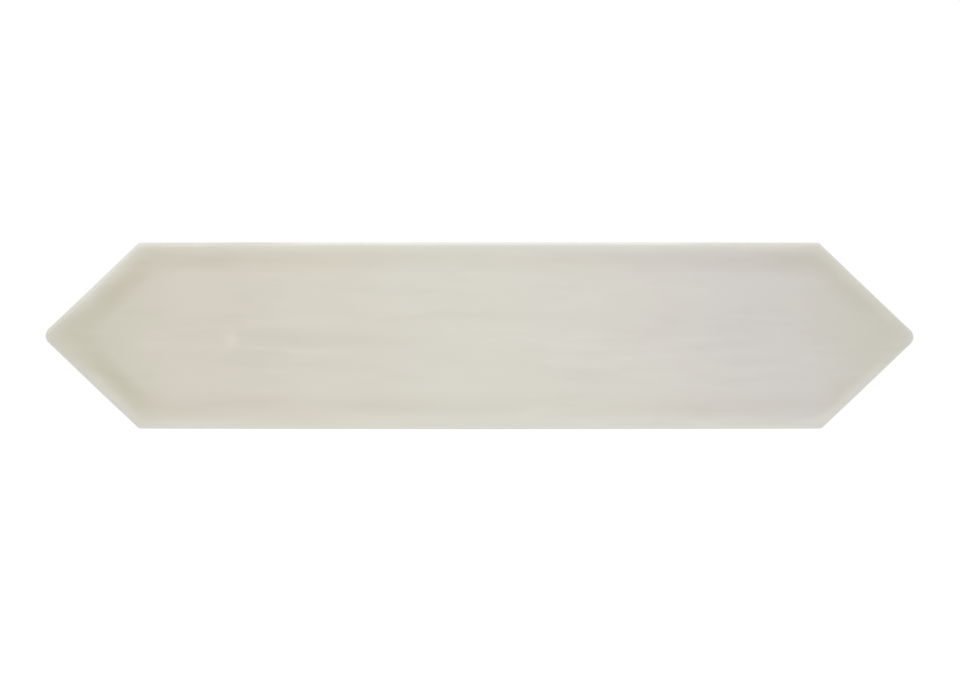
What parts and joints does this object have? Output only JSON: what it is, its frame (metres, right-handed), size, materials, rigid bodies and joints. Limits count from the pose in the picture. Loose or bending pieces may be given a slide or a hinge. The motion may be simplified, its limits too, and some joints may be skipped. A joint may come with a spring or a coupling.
{
  "type": "picket wall tile",
  "caption": "Glossy off-white ceramic wall tile in a long picket shape, a stretched hexagon with pointed short ends, soft hollow inside a rounded rim, and a flat back grooved for adhesive.",
  "frame": {"origin": "middle of the flat back, which the tile lies on", "axes": "+X along the length to one point, +Y across the width, +Z out of the glazed face"},
  "size_m": [0.3, 0.0648, 0.009],
  "materials": {
    "glaze": "gloss"
  },
  "bodies": {
    "root": {"picket_tile": "glaze"}
  },
  "joints": []
}
